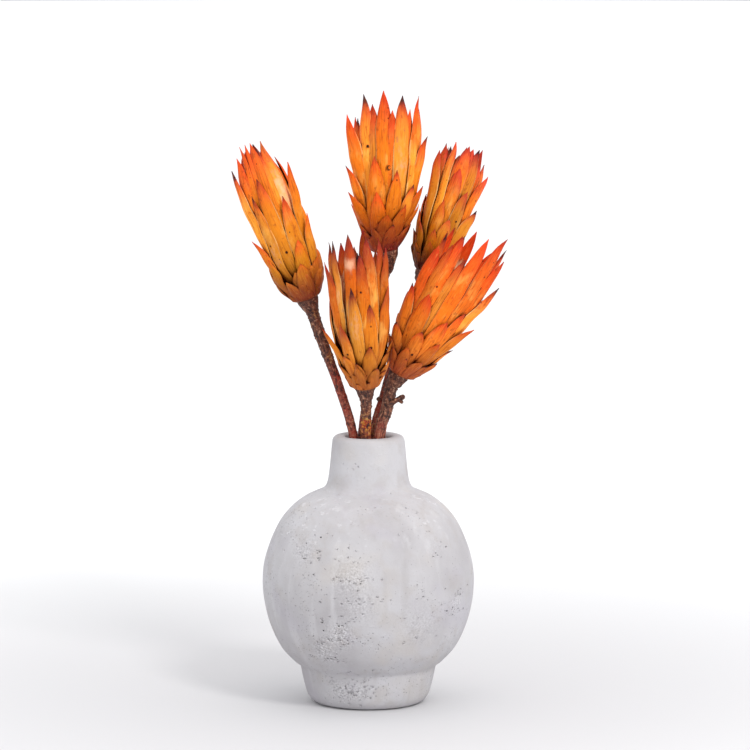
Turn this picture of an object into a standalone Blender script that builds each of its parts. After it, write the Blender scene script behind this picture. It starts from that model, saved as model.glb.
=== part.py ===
"""A pale concrete globe vase holding five dried protea heads on woody stems."""
import math
import random

import bpy
import bmesh
from mathutils import Matrix, Vector

MM = 0.001
ROUND_STEPS = 40

# Vase, millimetres from the centre of its flat bottom: (radius, height).
CAVITY = [
    (0.0, 15.0), (22.0, 15.0), (30.0, 18.5), (42.0, 31.0), (52.0, 49.0), (56.0, 68.0),
    (56.0, 81.0), (51.0, 100.0), (40.0, 116.0), (28.0, 126.0), (18.5, 132.0),
    (14.8, 138.0), (14.0, 147.0), (14.0, 162.4), (14.7, 164.2), (16.4, 164.9),
]
OUTSIDE = [
    (19.0, 165.0), (20.9, 164.3), (22.1, 162.4), (22.7, 157.0), (23.8, 145.0),
    (24.6, 139.0), (25.7, 135.0), (28.0, 132.0), (32.5, 130.0), (39.5, 126.6), (47.5, 120.4),
    (54.6, 111.5), (60.5, 98.5), (64.0, 86.0), (65.0, 73.5), (63.8, 61.0),
    (60.0, 47.0), (53.5, 34.0), (45.4, 25.2), (42.4, 23.2), (41.4, 21.0),
    (40.7, 17.0), (39.0, 9.8), (37.2, 4.2), (34.4, 0.9), (31.5, 0.0),
    (0.0, 0.0),
]

# Shared build of a head, millimetres.
NECK_R = 5.2
NECK_TOP = 12.5
WALL = 0.65
STEP_IN = 1.55
GAP = 0.3
RING_STEP = 2.4
LAYER_TIPS = (0.17, 0.29, 0.43, 0.60, 0.82, 0.97)
LAYER_COUNTS = (8, 8, 8, 8, 8, 8)
# Shares of the length at which every head's radius is given and every layer has its rows.
SHARES = (0.0, 0.07, 0.14, 0.25, 0.36, 0.6, 0.8, 1.0)
LAYER_ROWS = ((0.0, 0.07), (0.014, 0.07, 0.14), (0.14, 0.25), (0.25,), (0.25, 0.36), (0.25, 0.36))
FREE_ROWS = ((0.55,), (0.55,), (0.55,), (0.42, 0.78), (0.42, 0.78), (0.42, 0.78))

# Each head: base point, lean to the right and to the front (degrees), length and radius,
# radius shares at SHARES, and the bracts whose place is known:
# (layer, degrees round from the front, tip as a share of length, tip radius share).
HEADS = {
    "left": {
        "base": (-37.5, 0.0, 250.3), "right": -19.9, "front": 0.0, "long": 101.0, "wide": 18.6,
        "shape": (0.45, 0.74, 0.92, 1.0, 1.0, 0.97, 0.86, 0.60),
        "bracts": ((5, -45, 1.0, 0.5), (5, 0, 1.0, 0.45), (5, 42, 0.99, 0.48),
                   (4, -62, 0.94, 0.66), (4, -12, 0.79, 0.8), (4, 70, 0.82, 1.0),
                   (3, -80, 0.88, 0.88), (3, -34, 0.70, 0.95), (3, 26, 0.64, 0.95),
                   (2, -88, 0.44, 1.06), (2, 69, 0.49, 1.0), (2, 24, 0.36, 1.0),
                   (1, -58, 0.33, 0.95), (1, 58, 0.22, 0.95), (1, 14, 0.22, 0.9),
                   (0, -30, 0.14, 0.9)),
    },
    "top": {
        "base": (12.1, 19.0, 277.2), "right": 0.0, "front": -7.0, "long": 95.0, "wide": 22.6,
        "shape": (0.34, 0.56, 0.72, 0.90, 0.96, 1.02, 1.0, 0.9),
        "bracts": ((5, -46, 1.0, 0.92), (5, -8, 1.02, 0.92), (5, 26, 0.99, 0.92),
                   (5, 58, 0.99, 0.95), (4, -86, 0.87, 1.06), (4, 88, 0.73, 1.03),
                   (4, 58, 0.90, 0.98), (3, -88, 0.54, 1.16), (3, -21, 0.60, 1.0),
                   (3, 14, 0.51, 1.0), (2, -17, 0.37, 1.0), (2, 46, 0.42, 1.0),
                   (2, 82, 0.41, 0.98), (2, -86, 0.37, 1.04), (1, 34, 0.29, 0.95),
                   (1, 3, 0.22, 0.9), (0, -26, 0.14, 0.8)),
    },
    "right": {
        "base": (35.6, 26.0, 264.3), "right": 19.3, "front": -10.0, "long": 79.5, "wide": 17.4,
        "shape": (0.40, 0.62, 0.80, 0.93, 0.98, 1.0, 0.94, 0.76),
        "bracts": ((5, -72, 0.97, 0.84), (5, -36, 1.0, 0.78), (5, 0, 1.0, 0.78),
                   (5, 28, 1.0, 0.8), (4, -71, 0.90, 0.98), (4, 80, 0.83, 0.98),
                   (4, -4, 0.81, 0.96), (3, 27, 0.66, 1.0), (2, 80, 0.55, 1.02),
                   (3, -14, 0.54, 1.0), (2, 9, 0.41, 1.0), (1, -58, 0.34, 0.95),
                   (1, -13, 0.30, 0.95), (0, -14, 0.2, 0.9)),
    },
    "front": {
        "base": (-2.0, -14.0, 197.9), "right": -3.8, "front": 12.0, "long": 99.0, "wide": 20.6,
        "shape": (0.42, 0.60, 0.78, 0.92, 0.99, 0.96, 0.9, 0.74),
        "bracts": ((5, -50, 0.98, 0.86), (5, -14, 1.03, 0.76), (5, 26, 1.0, 0.76),
                   (5, 58, 0.95, 0.8), (4, -80, 0.85, 0.95), (4, 8, 0.91, 0.82),
                   (4, 88, 0.91, 0.84), (3, 70, 0.67, 0.94), (3, -12, 0.70, 0.94),
                   (3, 20, 0.58, 0.96), (2, -35, 0.46, 1.0), (2, -88, 0.43, 1.1),
                   (1, -37, 0.25, 0.95), (1, 14, 0.31, 0.95), (0, -14, 0.19, 0.9),
                   (0, 27, 0.16, 0.85)),
    },
    "corner": {
        "base": (19.5, -2.0, 204.3), "right": 30.0, "front": 3.0, "long": 103.0, "wide": 21.8,
        "shape": (0.40, 0.61, 0.78, 0.94, 1.0, 1.04, 1.01, 0.82),
        "bracts": ((5, -28, 0.92, 0.86), (5, 12, 0.98, 0.86), (5, 42, 1.03, 0.93),
                   (4, -62, 0.79, 1.0), (4, -38, 0.84, 0.98), (4, 64, 0.90, 1.0),
                   (3, 90, 0.75, 1.12), (3, -80, 0.52, 1.0), (3, -28, 0.52, 1.0),
                   (3, 46, 0.52, 1.0), (2, 90, 0.46, 1.14), (2, 22, 0.43, 1.0),
                   (1, -6, 0.31, 1.0), (1, -63, 0.27, 0.95), (1, 31, 0.29, 0.98),
                   (0, -13, 0.18, 0.9), (0, 22, 0.14, 0.85)),
    },
}

# Stems from the mouth up and from the mouth down, (x, y, z, radius) in millimetres.
STEMS = {
    "left": [(9.0, 4.8, 15.3, 2.7), (9.0, 4.8, 18.5, 2.7), (3.0, 3.8, 66.0, 2.7),
             (-4.0, 1.5, 120.0, 2.7), (-9.4, -1.0, 165.9, 2.7), (-17.3, -2.0, 193.2, 2.8),
             (-23.4, -2.0, 210.5, 3.0), (-29.6, -1.0, 227.6, 3.5)],
    "front": [(-2.4, -4.0, 15.3, 3.1), (-2.4, -4.0, 18.5, 3.1), (-2.2, -4.5, 66.0, 3.1),
              (-1.7, -5.0, 120.0, 3.1), (-1.4, -6.4, 165.3, 3.1), (-1.4, -8.8, 176.7, 3.2)],
    "corner": [(-5.0, -14.0, 15.3, 3.4), (-5.0, -14.0, 18.5, 3.4), (-1.5, -12.8, 66.0, 3.4),
               (3.4, -9.6, 120.0, 3.4), (7.1, -4.6, 166.0, 3.4), (10.8, -3.6, 180.0, 3.6)],
    "right": [(-8.0, 15.0, 15.3, 3.0), (-8.0, 15.0, 18.5, 3.0), (-4.2, 12.0, 66.0, 3.0),
              (0.2, 8.6, 120.0, 3.0), (3.6, 6.0, 165.0, 3.0), (9.0, 9.8, 184.9, 3.0),
              (14.4, 14.9, 204.6, 3.0), (20.4, 19.8, 225.8, 3.0), (26.6, 22.9, 244.4, 3.2)],
    "top": [(-14.0, 8.0, 15.3, 2.6), (-14.0, 8.0, 18.5, 2.6), (-10.8, 7.6, 66.0, 2.6),
            (-7.0, 7.2, 120.0, 2.6), (-3.8, 6.9, 164.8, 2.6), (-1.4, 8.4, 182.6, 2.6),
            (2.3, 11.4, 203.9, 2.7), (6.2, 14.6, 234.5, 2.9), (9.4, 17.0, 260.0, 3.2)],
}
# Side growths on the stems: (stem, start, end, radius).
GROWTHS = [
    ("corner", (11.8, -5.4, 184.5), (22.3, -6.8, 190.2), 1.9),
    ("left", (-26.6, -1.6, 218.6), (-28.8, -2.6, 221.6), 1.8),
    ("right", (8.4, 9.2, 184.0), (5.8, 7.6, 187.2), 1.7),
]

BRACT_COLOURS = ((0.16, 0.05, 0.03), (0.32, 0.12, 0.04), (0.55, 0.22, 0.05),
                 (0.75, 0.30, 0.06), (0.85, 0.30, 0.06), (0.90, 0.27, 0.05))


def clear_scene():
    for old in list(bpy.data.objects):
        bpy.data.objects.remove(old, do_unlink=True)


def material(name, colour, roughness):
    made = bpy.data.materials.new(name)
    made.use_nodes = True
    shader = made.node_tree.nodes["Principled BSDF"]
    shader.inputs["Base Color"].default_value = (*colour, 1.0)
    shader.inputs["Roughness"].default_value = roughness
    shader.inputs["Metallic"].default_value = 0.0
    return made


def add_object(name, mesh, colour, roughness):
    made = bpy.data.objects.new(name, mesh)
    mesh.materials.clear()
    mesh.materials.append(material(name, colour, roughness))
    PART.objects.link(made)
    return made


def turned(name, profile, steps, colour, roughness, place=None):
    """A closed body turned round Z from (radius, height) pairs that begin and end on the axis."""
    mesh = bpy.data.meshes.new(name)
    points = [(r * MM, 0.0, z * MM) for r, z in profile]
    if place is not None:
        points = [tuple(p) for p in points]
    mesh.from_pydata(points, [(i, i + 1) for i in range(len(points) - 1)], [])
    made = add_object(name, mesh, colour, roughness)
    screw = made.modifiers.new("Turn", "SCREW")
    screw.steps = steps
    screw.render_steps = steps
    screw.use_merge_vertices = True
    screw.merge_threshold = 1e-5
    if place is not None:
        made.matrix_world = place
    return made


def interpolate(pairs, at):
    for (a, first), (b, second) in zip(pairs, pairs[1:]):
        if at <= b:
            share = max(0.0, (at - a) / (b - a))
            return first + (second - first) * share
    return pairs[-1][1]


def soft(value):
    value = min(1.0, max(0.0, value))
    return value * value * (3.0 - 2.0 * value)


def place_of(head):
    turn = Matrix.Rotation(math.radians(head["right"]), 4, "Y")
    turn = turn @ Matrix.Rotation(math.radians(head["front"]), 4, "X")
    return Matrix.Translation(Vector(head["base"]) * MM) @ turn


def lobes_of(name, head, layer):
    """The bracts of one layer as [degrees, tip share, tip radius share or None], in order."""
    luck = random.Random(name + str(layer))
    known = sorted([float(b[1]), b[2], b[3]] for b in head["bracts"] if b[0] == layer)
    gaps = []
    for i, (turn, _, _) in enumerate(known):
        after = known[(i + 1) % len(known)][0] + (360.0 if i == len(known) - 1 else 0.0)
        gaps.append([turn, after - turn, 0])
    for _ in range(LAYER_COUNTS[layer] - len(known)):
        widest = max(gaps, key=lambda gap: gap[1] / (gap[2] + 1))
        widest[2] += 1
    found = list(known)
    for turn, span, number in gaps:
        for i in range(number):
            where = turn + span * (i + 1 + luck.uniform(-0.06, 0.06)) / (number + 1)
            tip = min(LAYER_TIPS[layer] * luck.uniform(0.93, 1.05), 1.0)
            found.append([(where + 180.0) % 360.0 - 180.0, tip, None])
    return sorted(found, key=lambda lobe: lobe[0])


def layer_radius(head, tips, layer, share):
    """The outer radius of a layer at this share of the length, inside every layer still beside it."""
    inset = 0.0
    for outer in range(layer):
        inset += 1.0 - soft((share - tips[outer] - 0.01) / 0.14)
    return interpolate(list(zip(SHARES, head["shape"])), share) * head["wide"] - STEP_IN * inset


def whorl(name, head, layer, tips, place):
    """One ring of bracts joined at their feet, as a lobed cup given its thickness by Solidify."""
    lobes = lobes_of(name, head, layer)
    count = len(lobes)
    long = head["long"]
    edges = []
    for i in range(count):
        after = lobes[(i + 1) % count][0] + (360.0 if i == count - 1 else 0.0)
        edges.append((lobes[i][0] + after) / 2.0)
    notch = LAYER_ROWS[layer][-1]
    foot = NECK_R + GAP + (0.5 if layer < 2 else 0.85)
    rows = [(foot, -1.5 + RING_STEP * layer)]
    for share in LAYER_ROWS[layer]:
        rows.append((layer_radius(head, tips, layer, share), share * long))

    shell = bmesh.new()

    def point(radius, degrees, height):
        turn = math.radians(degrees)
        return shell.verts.new((radius * math.sin(turn) * MM, -radius * math.cos(turn) * MM,
                                height * MM))

    grid = []
    for radius, height in rows:
        line = []
        for i in range(count):
            line.append(point(radius, lobes[i][0], height))
            line.append(point(radius, edges[i], height))
        grid.append(line)
    for low, high in zip(grid, grid[1:]):
        for i in range(2 * count):
            j = (i + 1) % (2 * count)
            shell.faces.new((low[i], low[j], high[j], high[i]))
    start = max([notch] + [tips[outer] + 0.02 for outer in range(layer)])
    for i, (turn, tip, reach) in enumerate(lobes):
        left = edges[i - 1] - (360.0 if i == 0 else 0.0)
        right = edges[i]
        line = [grid[-1][2 * i - 1], grid[-1][2 * i], grid[-1][2 * i + 1]]
        for row in FREE_ROWS[layer] + (1.0,):
            share = notch + (tip - notch) * row
            radius = layer_radius(head, tips, layer, share)
            if reach is not None and share > start and tip > start:
                goal = reach * head["wide"]
                last = layer_radius(head, tips, layer, tip)
                if goal > last or layer == 5:
                    radius += (goal - last) * ((share - start) / (tip - start)) ** 2
            if row == 1.0:
                end = point(radius, turn, share * long)
                shell.faces.new((line[0], line[1], end))
                shell.faces.new((line[1], line[2], end))
                continue
            half = 1.0 - row ** 1.7 * 1.02
            wide = [point(radius, turn + (left - turn) * half, share * long),
                    point(radius, turn, share * long),
                    point(radius, turn + (right - turn) * half, share * long)]
            shell.faces.new((line[0], line[1], wide[1], wide[0]))
            shell.faces.new((line[1], line[2], wide[2], wide[1]))
            line = wide
    bmesh.ops.recalc_face_normals(shell, faces=shell.faces)
    lowest = min(shell.faces, key=lambda face: face.calc_center_median().z)
    middle = lowest.calc_center_median()
    if lowest.normal.x * middle.x + lowest.normal.y * middle.y + lowest.normal.z * -abs(middle.x) < 0:
        bmesh.ops.reverse_faces(shell, faces=shell.faces)
    mesh = bpy.data.meshes.new(name)
    shell.to_mesh(mesh)
    shell.free()
    made = add_object(name, mesh, BRACT_COLOURS[layer], 0.5)
    thick = made.modifiers.new("Thickness", "SOLIDIFY")
    thick.thickness = WALL * MM
    thick.offset = -1.0
    made.matrix_world = place
    return made


def florets(name, head, tips, place):
    """The packed florets inside the bracts, a tapered plug standing on the neck."""
    long = head["long"]
    profile = [(0.0, 0.80 * long), (0.30 * head["wide"], 0.79 * long)]
    for share in (0.72, 0.58, 0.42, 0.27):
        inner = layer_radius(head, tips, 5, share)
        profile.append((inner * (0.62 if share > 0.6 else 1.0) - 2.2, share * long))
    profile.append((4.2, NECK_TOP + GAP))
    profile.append((0.0, NECK_TOP + GAP))
    return turned(name, profile, 12, (0.75, 0.45, 0.30), 0.8, place)


def smooth_path(points, per):
    """Points of a Catmull-Rom curve through the (x, y, z, radius) points."""
    padded = [points[0]] + list(points) + [points[-1]]
    found = []
    for i in range(1, len(padded) - 2):
        p0, p1, p2, p3 = padded[i - 1], padded[i], padded[i + 1], padded[i + 2]
        steps = per if i > 1 else 1
        for j in range(steps):
            t = j / steps
            found.append(tuple(
                0.5 * (2 * b + (c - a) * t + (2 * a - 5 * b + 4 * c - d) * t * t
                       + (3 * b - a - 3 * c + d) * t ** 3)
                for a, b, c, d in zip(p0, p1, p2, p3)))
    found.append(tuple(points[-1]))
    return found


def stem(name, path, head, place):
    """A woody stem that swells into the neck its bracts grow from."""
    points = list(path)
    top = points[-1][3]
    flare = [(-11.0, top * 1.02), (-6.5, 0.55 * top + 0.45 * NECK_R), (-2.6, NECK_R)]
    for height, radius in flare:
        spot = place @ Vector((0.0, 0.0, height * MM))
        points.append((spot.x / MM, spot.y / MM, spot.z / MM, radius))
    points = smooth_path(points, 2)
    for height in (1.0, NECK_TOP):
        spot = place @ Vector((0.0, 0.0, height * MM))
        points.append((spot.x / MM, spot.y / MM, spot.z / MM, NECK_R))
    curve = bpy.data.curves.new(name, "CURVE")
    curve.dimensions = "3D"
    curve.bevel_depth = MM
    curve.bevel_resolution = 2
    curve.use_fill_caps = True
    line = curve.splines.new("POLY")
    line.points.add(len(points) - 1)
    for spot, (x, y, z, radius) in zip(line.points, points):
        spot.co = (x * MM, y * MM, z * MM, 1.0)
        spot.radius = radius
    guide = bpy.data.objects.new(name + "_guide", curve)
    HELPERS.objects.link(guide)
    bpy.context.view_layer.update()
    mesh = bpy.data.meshes.new_from_object(guide.evaluated_get(bpy.context.evaluated_depsgraph_get()))
    bpy.data.objects.remove(guide)
    body = bmesh.new()
    body.from_mesh(mesh)
    bmesh.ops.remove_doubles(body, verts=body.verts, dist=1e-6)
    bmesh.ops.recalc_face_normals(body, faces=body.faces)
    body.to_mesh(mesh)
    body.free()
    return add_object(name, mesh, (0.20, 0.08, 0.05), 0.75)


def grow(target, number, start, end, radius):
    """Joins a small tapered side growth to a stem."""
    a = Vector(start) * MM
    b = Vector(end) * MM
    body = bmesh.new()
    bmesh.ops.create_cone(body, cap_ends=True, segments=8, radius1=radius * MM,
                          radius2=radius * 0.55 * MM, depth=(b - a).length)
    turn = (b - a).to_track_quat("Z", "Y").to_matrix().to_4x4()
    bmesh.ops.transform(body, verts=body.verts, matrix=Matrix.Translation((a + b) / 2) @ turn)
    mesh = bpy.data.meshes.new("growth")
    body.to_mesh(mesh)
    body.free()
    tool = bpy.data.objects.new("growth_%d" % number, mesh)
    tool.hide_render = True
    tool.display_type = "WIRE"
    HELPERS.objects.link(tool)
    join = target.modifiers.new("Grow", "BOOLEAN")
    join.operation = "UNION"
    join.solver = "EXACT"
    join.object = tool


clear_scene()
PART = bpy.data.collections.new("protea_vase")
HELPERS = bpy.data.collections.new("helpers")
HELPERS.hide_render = True
bpy.context.scene.collection.children.link(PART)
bpy.context.scene.collection.children.link(HELPERS)

turned("vase", CAVITY + OUTSIDE, ROUND_STEPS, (0.62, 0.61, 0.60), 0.85)
for head_name, head_data in HEADS.items():
    frame = place_of(head_data)
    top_tips = [max(lobe[1] for lobe in lobes_of(head_name + "_bracts", head_data, k))
                for k in range(6)]
    stem_object = stem(head_name + "_stem", STEMS[head_name], head_data, frame)
    for number, (owner, start, end, radius) in enumerate(GROWTHS):
        if owner == head_name:
            grow(stem_object, number, start, end, radius)
    for layer in range(6):
        made = whorl(head_name + "_bracts", head_data, layer, top_tips, frame)
        made.name = "%s_bracts_%d" % (head_name, layer + 1)
        made.data.materials[0].name = made.name
    florets(head_name + "_florets", head_data, top_tips, frame)
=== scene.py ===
"""Five dried protea heads in a pale concrete globe vase: the looks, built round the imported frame."""

import math
import random

import bpy
import bmesh
import numpy as np
from mathutils import Matrix, Vector, noise
from mathutils.bvhtree import BVHTree


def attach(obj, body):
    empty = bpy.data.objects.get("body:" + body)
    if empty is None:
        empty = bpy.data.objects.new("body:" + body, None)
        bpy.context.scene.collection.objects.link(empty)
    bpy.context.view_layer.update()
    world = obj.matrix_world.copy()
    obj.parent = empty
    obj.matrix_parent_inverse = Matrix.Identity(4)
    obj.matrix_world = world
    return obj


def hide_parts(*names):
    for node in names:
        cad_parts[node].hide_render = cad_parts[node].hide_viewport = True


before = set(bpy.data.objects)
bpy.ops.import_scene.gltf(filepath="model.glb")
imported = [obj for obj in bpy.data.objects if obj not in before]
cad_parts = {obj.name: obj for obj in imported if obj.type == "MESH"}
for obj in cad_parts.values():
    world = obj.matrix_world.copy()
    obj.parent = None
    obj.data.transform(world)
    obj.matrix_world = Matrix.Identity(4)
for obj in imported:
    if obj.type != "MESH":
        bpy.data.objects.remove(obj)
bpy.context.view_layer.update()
MM = 0.001

# Head layout, as in the frame: millimetres, degrees and shares of the head's length and radius.
# A bract is (layer, turn, tip height, tip radius), and where it matters its colour lot, from 0 for the
# most red to 1 for the most yellow. By (layer, turn), "pale" gives a pale patch as centre and half
# length along the bract, and strength; "holes" an insect hole as place along and across, and radius.
# No bract fills the gap in the innermost layers between the turns of "open".
NECK_R = 5.2
NECK_TOP = 12.5
STEP_IN = 1.35
FIRST_RING = -1.5
RING_STEP = 2.4
FOOT_R = 5.8
LAYER_TIPS = (0.17, 0.29, 0.43, 0.60, 0.82, 0.97)
LAYER_FEET = (0.0, 0.02, 0.12, 0.20, 0.24, 0.27)
LAYER_COUNT = 8
SHARES = (0.0, 0.07, 0.14, 0.25, 0.36, 0.6, 0.8, 1.0)
HEADS = {
    "left": {
        "base": (-37.5, 0.0, 250.3), "right": -19.9, "front": 0.0, "long": 101.0, "wide": 18.6,
        "shape": (0.45, 0.74, 0.92, 1.0, 1.0, 0.97, 0.86, 0.60),
        "bracts": (
            (5, -45, 1.0, 0.5), (5, 0, 1.0, 0.45, 0.45), (5, 42, 0.99, 0.48, 0.88),
            (4, -62, 0.94, 0.66), (4, -12, 0.79, 0.8, 0.62), (4, 70, 0.82, 1.0, 0.55),
            (3, -80, 0.88, 0.88), (3, -34, 0.7, 0.95, 0.8), (3, 26, 0.64, 0.95, 0.5),
            (2, -88, 0.44, 1.06), (2, 69, 0.49, 1.0), (2, 24, 0.36, 1.0, 0.3), (1, -58, 0.33, 0.95),
            (1, 58, 0.22, 0.95), (1, 14, 0.22, 0.9), (0, -30, 0.14, 0.9),
        ),
        "sway": 0.0, "collar": 1.30, "back": 1.03, "crown": 0.94,
        "blade": 4.8, "flare": -2.0, "blunt": 3.6, "waist": 0.50, "dark": 0.65,
        "tones": ((132, 60, 36), (200, 122, 22), (240, 138, 26), (250, 122, 32), (220, 68, 32)),
        "pale": {(5, 42): (0.62, 0.17, 0.85), (3, -34): (0.45, 0.25, 0.4)},
        "holes": {(4, -12): (0.36, 0.20, 0.9), (3, -34): (0.50, 0.10, 0.6)}, "open": (44, 100),
    },
    "top": {
        "base": (12.1, 19.0, 277.2), "right": 0.0, "front": -7.0, "long": 95.0, "wide": 22.6,
        "shape": (0.34, 0.56, 0.72, 0.90, 0.96, 1.02, 1.0, 0.9),
        "bracts": (
            (5, -46, 1.0, 0.92, 0.92), (5, -8, 1.02, 0.92, 0.55), (5, 26, 0.99, 0.92, 0.9),
            (5, 58, 0.99, 0.95, 0.35), (4, -86, 0.87, 1.06, 0.58), (4, 88, 0.73, 1.03, 0.66),
            (4, 58, 0.9, 0.98), (3, -88, 0.54, 1.16), (3, -21, 0.6, 1.0, 0.22), (3, 14, 0.51, 1.0, 0.6),
            (2, -17, 0.37, 1.0), (2, 46, 0.42, 1.0), (2, 82, 0.41, 0.98), (2, -86, 0.37, 1.04),
            (1, 34, 0.29, 0.95), (1, 3, 0.22, 0.9), (0, -26, 0.14, 0.8),
        ),
        "sway": -2.6, "collar": 1.18, "back": 0.96, "crown": 1.12,
        "blade": 5.3, "flare": 0.0, "blunt": 3.4, "waist": 0.40, "dark": 0.75,
        "tones": ((116, 36, 34), (204, 102, 12), (248, 134, 20), (254, 120, 26), (222, 56, 28)),
        "pale": {(5, 26): (0.50, 0.25, 0.45)},
        "holes": {(5, -46): (0.63, 0.55, 1.1), (5, -8): (0.49, 0.55, 1.7)}, "open": None,
    },
    "right": {
        "base": (35.6, 26.0, 264.3), "right": 19.3, "front": -10.0, "long": 79.5, "wide": 17.4,
        "shape": (0.40, 0.62, 0.80, 0.93, 0.98, 1.0, 0.94, 0.76),
        "bracts": (
            (5, -72, 0.97, 0.84), (5, -36, 1.0, 0.78, 0.85), (5, 0, 1.0, 0.78, 0.4), (5, 28, 1.0, 0.8),
            (4, -71, 0.9, 0.98), (4, 80, 0.83, 0.98, 0.1), (4, -4, 0.81, 0.96, 0.15),
            (3, 27, 0.66, 1.0, 0.72), (2, 80, 0.55, 1.02, 0.9), (3, -14, 0.54, 1.0), (2, 9, 0.41, 1.0),
            (1, -58, 0.34, 0.95), (1, -13, 0.3, 0.95), (0, -14, 0.2, 0.9),
        ),
        "sway": 0.0, "collar": 1.18, "back": 1.00, "crown": 1.00,
        "blade": 4.1, "flare": -0.4, "blunt": 4.6, "waist": 0.44, "dark": 0.7,
        "tones": ((78, 28, 20), (192, 114, 10), (232, 138, 16), (246, 118, 32), (204, 54, 46)),
        "pale": {}, "holes": {(3, 27): (0.60, 0.00, 0.7)}, "open": None,
    },
    "front": {
        "base": (-2.0, -14.0, 197.9), "right": -3.8, "front": 12.0, "long": 99.0, "wide": 20.6,
        "shape": (0.42, 0.60, 0.78, 0.92, 0.99, 0.96, 0.9, 0.74),
        "bracts": (
            (5, -50, 0.98, 0.86, 0.93), (5, -14, 1.03, 0.76), (5, 26, 1.0, 0.76, 0.5),
            (5, 58, 0.95, 0.8), (4, -80, 0.85, 0.95, 0.12), (4, 8, 0.91, 0.82, 0.52),
            (4, 88, 0.91, 0.84), (3, 70, 0.67, 0.94, 0.12), (3, -12, 0.7, 0.94, 0.99),
            (3, 20, 0.58, 0.96, 0.6), (2, -35, 0.46, 1.0, 0.16), (2, -88, 0.43, 1.1),
            (1, -37, 0.25, 0.95), (1, 14, 0.31, 0.95), (0, -14, 0.19, 0.9), (0, 27, 0.16, 0.85),
        ),
        "sway": 0.0, "collar": 1.16, "back": 0.93, "crown": 0.95,
        "blade": 4.6, "flare": 0.0, "blunt": 3.3, "waist": 0.50, "dark": 0.95,
        "tones": ((170, 92, 42), (212, 124, 34), (228, 122, 18), (216, 92, 16), (146, 34, 34)),
        "pale": {(5, -14): (0.80, 0.05, 1.0), (5, -50): (0.60, 0.16, 0.6), (3, -12): (0.62, 0.22, 0.5)},
        "holes": {(3, 20): (0.46, 0.10, 1.0), (2, -35): (0.55, 0.20, 0.8), (4, 8): (0.70, -0.20, 0.7)},
        "open": (-44, -20),
    },
    "corner": {
        "base": (19.5, -2.0, 204.3), "right": 30.0, "front": 3.0, "long": 103.0, "wide": 21.8,
        "shape": (0.40, 0.61, 0.78, 0.94, 1.0, 1.04, 1.01, 0.82),
        "bracts": (
            (5, -28, 0.92, 0.86, 0.6), (5, 12, 0.98, 0.86, 0.3), (5, 42, 1.03, 0.93),
            (4, -62, 0.79, 1.0), (4, -38, 0.84, 0.98, 0.72), (4, 64, 0.9, 1.0, 0.25),
            (3, 90, 0.75, 1.12), (3, -80, 0.52, 1.0), (3, -28, 0.52, 1.0, 0.55),
            (3, 46, 0.52, 1.0, 0.4), (2, 90, 0.46, 1.14), (2, 22, 0.43, 1.0, 0.2),
            (1, -6, 0.31, 1.0, 0.5), (1, -63, 0.27, 0.95), (1, 31, 0.29, 0.98), (0, -13, 0.18, 0.9),
            (0, 22, 0.14, 0.85),
        ),
        "sway": 0.0, "collar": 1.22, "back": 0.93, "crown": 0.92,
        "blade": 4.8, "flare": 0.0, "blunt": 4.8, "waist": 0.50, "dark": 0.8,
        "tones": ((160, 74, 42), (228, 124, 34), (242, 114, 24), (244, 94, 24), (214, 58, 28)),
        "pale": {}, "holes": {(1, -6): (0.50, 0.30, 0.9), (5, -28): (0.60, 0.30, 0.6)}, "open": (14, 40),
    },
}
# Stem paths, as in the frame: x, y, z and radius. GROWTHS are stub twigs and buds: where they start
# and end, and their radius. CAVITY and OUTSIDE are the vase's turned profile: radius and height.
STEMS = {
    "left": [(9.0, 4.8, 15.3, 2.7), (9.0, 4.8, 18.5, 2.7), (3.0, 3.8, 66.0, 2.7),
             (-4.0, 1.5, 120.0, 2.7), (-9.4, -1.0, 165.9, 2.7), (-17.3, -2.0, 193.2, 2.8),
             (-23.4, -2.0, 210.5, 3.0), (-29.6, -1.0, 227.6, 3.5)],
    "front": [(-2.4, -4.0, 15.3, 3.1), (-2.4, -4.0, 18.5, 3.1), (-2.2, -4.5, 66.0, 3.1),
              (-1.7, -5.0, 120.0, 3.1), (-1.4, -6.4, 165.3, 3.1), (-1.4, -8.8, 176.7, 3.2)],
    "corner": [(-5.0, -14.0, 15.3, 3.4), (-5.0, -14.0, 18.5, 3.4), (-1.5, -12.8, 66.0, 3.4),
               (3.4, -9.6, 120.0, 3.4), (7.1, -4.6, 166.0, 3.4), (10.8, -3.6, 180.0, 3.6)],
    "right": [(-8.0, 15.0, 15.3, 3.0), (-8.0, 15.0, 18.5, 3.0), (-4.2, 12.0, 66.0, 3.0),
              (0.2, 8.6, 120.0, 3.0), (3.6, 6.0, 165.0, 3.0), (9.0, 9.8, 184.9, 3.0),
              (14.4, 14.9, 204.6, 3.0), (20.4, 19.8, 225.8, 3.0), (26.6, 22.9, 244.4, 3.2)],
    "top": [(-14.0, 8.0, 15.3, 2.6), (-14.0, 8.0, 18.5, 2.6), (-10.8, 7.6, 66.0, 2.6),
            (-7.0, 7.2, 120.0, 2.6), (-3.8, 6.9, 164.8, 2.6), (-1.4, 8.4, 182.6, 2.6),
            (2.3, 11.4, 203.9, 2.7), (6.2, 14.6, 234.5, 2.9), (9.4, 17.0, 260.0, 3.2)],
}
GROWTHS = [
    ("corner", (11.8, -5.4, 184.5), (22.3, -6.8, 190.2), 1.9),
    ("left", (-26.6, -1.6, 218.6), (-28.8, -2.6, 221.6), 1.8),
    ("right", (8.4, 9.2, 184.0), (5.8, 7.6, 187.2), 1.7),
]
CAVITY = [
    (0.0, 15.0), (22.0, 15.0), (30.0, 18.5), (42.0, 31.0), (52.0, 49.0), (56.0, 68.0),
    (56.0, 81.0), (51.0, 100.0), (40.0, 116.0), (28.0, 126.0), (18.5, 132.0),
    (14.8, 138.0), (14.0, 147.0), (14.0, 162.4), (14.7, 164.2), (16.4, 164.9),
]
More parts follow.
